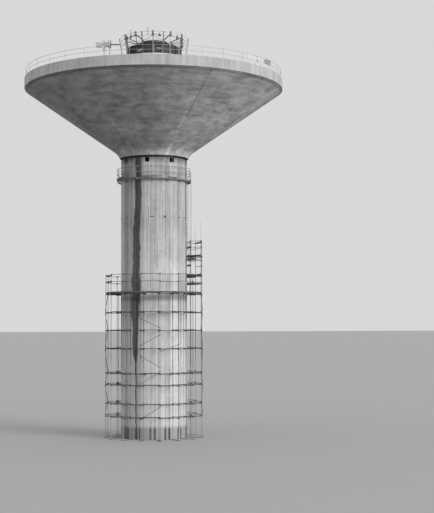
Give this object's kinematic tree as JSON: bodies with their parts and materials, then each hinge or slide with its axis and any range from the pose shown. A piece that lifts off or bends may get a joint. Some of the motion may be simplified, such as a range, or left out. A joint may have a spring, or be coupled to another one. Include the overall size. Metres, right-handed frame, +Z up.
{
  "type": "water tower",
  "caption": "Concrete water tower: fluted round shaft, flared conical tank with rim band and roof, tube scaffold round the foot, collar platform, ladder and a jacking crown on the roof.",
  "frame": {"origin": "on the shaft's axis at ground level", "axes": "+Z up along the shaft, -Y towards the front that the picture shows, +X to its right, where the access tower stands"},
  "size_m": [25.5, 25.5, 39.8042],
  "materials": {
    "shaft_concrete": "board-marked concrete with vertical streaks and a wet stain",
    "throat_concrete": "pale fair-faced concrete",
    "soffit_concrete": "dark board-marked concrete",
    "rim_concrete": "pale smooth concrete",
    "roof_concrete": "floated concrete",
    "pale_tube": "weathered alloy tube",
    "scaffold_tube": "weathered steel tube",
    "boards": "wet weathered scaffold boards",
    "dark_steel": "oiled dark steel formwork and jacks"
  },
  "bodies": {
    "root": {"shaft_wall_1": "shaft_concrete", "shaft_wall_2": "shaft_concrete", "shaft_wall_3": "shaft_concrete", "shaft_wall_4": "shaft_concrete", "shaft_wall_5": "shaft_concrete", "shaft_wall_6": "shaft_concrete", "shaft_wall_7": "shaft_concrete", "foot_floor": "shaft_concrete", "head_block_1": "shaft_concrete", "head_block_2": "shaft_concrete", "head_block_3": "shaft_concrete", "head_block_4": "shaft_concrete", "head_block_5": "shaft_concrete", "head_block_6": "shaft_concrete", "head_block_7": "shaft_concrete", "head_block_8": "shaft_concrete", "throat_ring_1": "throat_concrete", "throat_ring_2": "throat_concrete", "throat_ring_3": "throat_concrete", "throat_ring_4": "throat_concrete", "tank_shell_1": "soffit_concrete", "tank_shell_2": "soffit_concrete", "tank_shell_3": "soffit_concrete", "tank_shell_4": "soffit_concrete", "tank_shell_5": "soffit_concrete", "tank_shell_6": "soffit_concrete", "tank_shell_7": "soffit_concrete", "tank_shell_8": "soffit_concrete", "rim_band": "rim_concrete", "roof_slab": "roof_concrete", "core_wall_1": "rim_concrete", "core_wall_2": "rim_concrete", "core_wall_3": "rim_concrete", "core_wall_4": "rim_concrete", "rim_guard_1": "pale_tube", "rim_guard_2": "pale_tube", "rim_guard_3": "pale_tube", "rim_guard_4": "pale_tube", "collar_deck": "boards", "collar_guard": "scaffold_tube", "outer_frame_1": "scaffold_tube", "outer_frame_2": "scaffold_tube", "outer_frame_3": "scaffold_tube", "outer_frame_4": "scaffold_tube", "inner_frame_1": "scaffold_tube", "inner_frame_2": "scaffold_tube", "inner_frame_3": "scaffold_tube", "inner_frame_4": "scaffold_tube", "scaffold_deck": "boards", "access_tower": "scaffold_tube", "access_landing": "boards", "access_deck": "boards", "shaft_ladder": "pale_tube", "crown_deck": "boards", "shutter_ring": "dark_steel", "crown_frame": "dark_steel", "crown_guard": "scaffold_tube", "hoist_beam": "dark_steel"}
  },
  "joints": []
}
